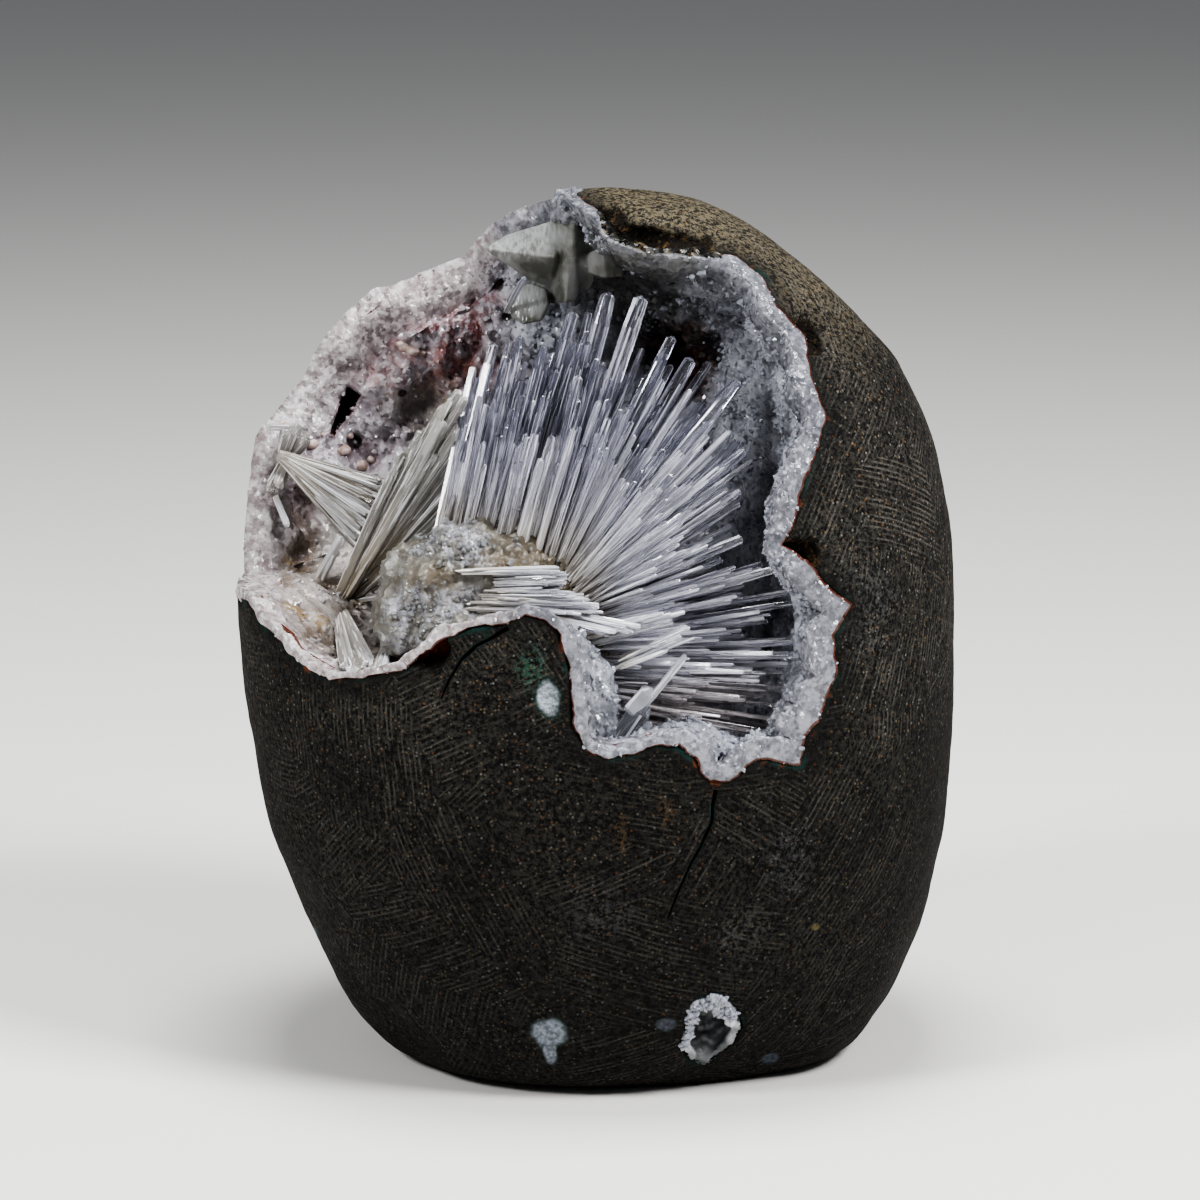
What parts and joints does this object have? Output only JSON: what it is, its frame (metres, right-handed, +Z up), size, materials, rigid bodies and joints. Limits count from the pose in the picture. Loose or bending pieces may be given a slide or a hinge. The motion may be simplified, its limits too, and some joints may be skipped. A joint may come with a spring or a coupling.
{
  "type": "scolecite geode",
  "caption": "Rounded ground basalt nodule on a flat base, open at its upper front, its hollow lined with quartz and filled with sprays of long scolecite needles.",
  "frame": {"origin": "on the flat ground base, under the middle of the nodule", "axes": "+Z up, -Y towards the front with the mouth of the hollow, +X to the right as seen from the front"},
  "size_m": [0.1634, 0.1339, 0.1975],
  "materials": {
    "basalt": "ground, matt",
    "crystals": "glassy to sugary",
    "vug_crystals": "sugary"
  },
  "bodies": {
    "root": {"basalt_nodule": "basalt", "crystal_crust": "crystals", "small_vug_crust": "vug_crystals"}
  },
  "joints": []
}
